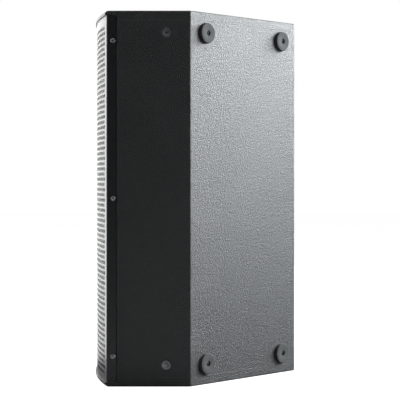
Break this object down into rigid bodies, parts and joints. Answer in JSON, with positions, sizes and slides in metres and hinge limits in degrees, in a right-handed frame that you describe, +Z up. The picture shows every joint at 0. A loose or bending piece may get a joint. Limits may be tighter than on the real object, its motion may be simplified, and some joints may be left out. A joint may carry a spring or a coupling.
{
  "type": "line array loudspeaker",
  "caption": "Compact loudspeaker cabinet with a convex perforated grille, an angled rear face on rubber feet, a woofer and a line-source waveguide.",
  "frame": {"origin": "centre of the bounding box's base, on the floor the cabinet stands on end on", "axes": "+Z up along the cabinet's long axis, -Y to the front (the grille), +X to the side whose rear edge meets the angled face"},
  "size_m": [0.403, 0.3417, 0.6],
  "materials": {
    "cabinet_paint": "fine textured black paint",
    "inner_board": "black stained plywood",
    "grille_steel": "satin black powder coat",
    "acoustic_foam": "open-cell foam",
    "foot_rubber": "matt",
    "black_hardware": "black zinc",
    "bright_hardware": "zinc plated",
    "moulded_plastic": "fine grain",
    "handle_grip": "ribbed",
    "guide_plastic": "satin",
    "gasket_foam": "matt",
    "contact_brass": "plated",
    "cast_frame": "black painted casting",
    "cone_paper": "pressed paper pulp",
    "suspension_cloth": "treated cloth",
    "coil_former": "polyimide film",
    "copper_winding": "enamelled copper",
    "motor_steel": "zinc plated",
    "ferrite": "ground ferrite",
    "diaphragm_metal": "thin foil",
    "ring_plastic": "moulded",
    "circuit_board": "solder mask",
    "capacitor_film": "wrapped film",
    "resistor_ceramic": "cement",
    "wire_jacket": "smooth",
    "wadding_felt": "loose felt"
  },
  "bodies": {
    "cabinet": {"end_panel_top": "cabinet_paint", "end_panel_bottom": "cabinet_paint", "side_panel_right": "cabinet_paint", "side_panel_left": "cabinet_paint", "angled_panel": "cabinet_paint", "rear_panel": "cabinet_paint", "baffle": "inner_board", "brace": "inner_board", "grille": "grille_steel", "grille_foam": "acoustic_foam", "rubber_feet": "foot_rubber", "grille_screws": "black_hardware", "foot_washers": "black_hardware", "foot_screws": "black_hardware", "rigging_inserts": "black_hardware", "rigging_plugs": "black_hardware", "panel_screws": "black_hardware", "socket_screws": "black_hardware", "woofer_screws": "black_hardware", "waveguide_screws": "black_hardware", "pole_socket": "black_hardware", "driver_screws": "bright_hardware", "crossover_screws": "bright_hardware", "crossover_standoffs": "bright_hardware", "connector_dish": "moulded_plastic", "handle_cup": "moulded_plastic", "speaker_sockets": "moulded_plastic", "woofer_terminals": "moulded_plastic", "port_tubes": "moulded_plastic", "driver_caps": "moulded_plastic", "driver_phase_plugs": "moulded_plastic", "handle_bar": "handle_grip", "waveguide": "guide_plastic", "woofer_gasket": "gasket_foam", "waveguide_gasket": "gasket_foam", "socket_contacts": "contact_brass", "woofer_basket": "cast_frame", "woofer_surround": "suspension_cloth", "woofer_spider": "suspension_cloth", "crossover_coils": "copper_winding", "woofer_top_plate": "motor_steel", "woofer_back_plate": "motor_steel", "driver_fronts": "motor_steel", "driver_top_plates": "motor_steel", "woofer_magnet": "ferrite", "driver_magnets": "ferrite", "driver_rings": "ring_plastic", "crossover_board": "circuit_board", "crossover_capacitors": "capacitor_film", "crossover_resistors": "resistor_ceramic", "input_wiring": "wire_jacket", "woofer_wiring": "wire_jacket", "wadding": "wadding_felt"},
    "woofer_cone_assembly": {"woofer_cone": "cone_paper", "woofer_dust_cap": "cone_paper", "voice_coil_former": "coil_former", "voice_coil": "copper_winding"},
    "diaphragm_1": {"driver_diaphragm_1": "diaphragm_metal"},
    "diaphragm_2": {"driver_diaphragm_2": "diaphragm_metal"},
    "diaphragm_3": {"driver_diaphragm_3": "diaphragm_metal"}
  },
  "joints": [
    {"name": "woofer_excursion", "type": "slide", "parent": "cabinet", "child": "woofer_cone_assembly", "axis": [0, -1, 0], "range_m": [-0.005, 0.005], "stiffness_N_per_m": 5000, "deforming": ["woofer_surround", "woofer_spider"]},
    {"name": "diaphragm_1_excursion", "type": "slide", "parent": "cabinet", "child": "diaphragm_1", "axis": [0, -1, 0], "range_m": [-0.0003, 0.0003], "stiffness_N_per_m": 600},
    {"name": "diaphragm_2_excursion", "type": "slide", "parent": "cabinet", "child": "diaphragm_2", "axis": [0, -1, 0], "range_m": [-0.0003, 0.0003], "stiffness_N_per_m": 600},
    {"name": "diaphragm_3_excursion", "type": "slide", "parent": "cabinet", "child": "diaphragm_3", "axis": [0, -1, 0], "range_m": [-0.0003, 0.0003], "stiffness_N_per_m": 600}
  ]
}
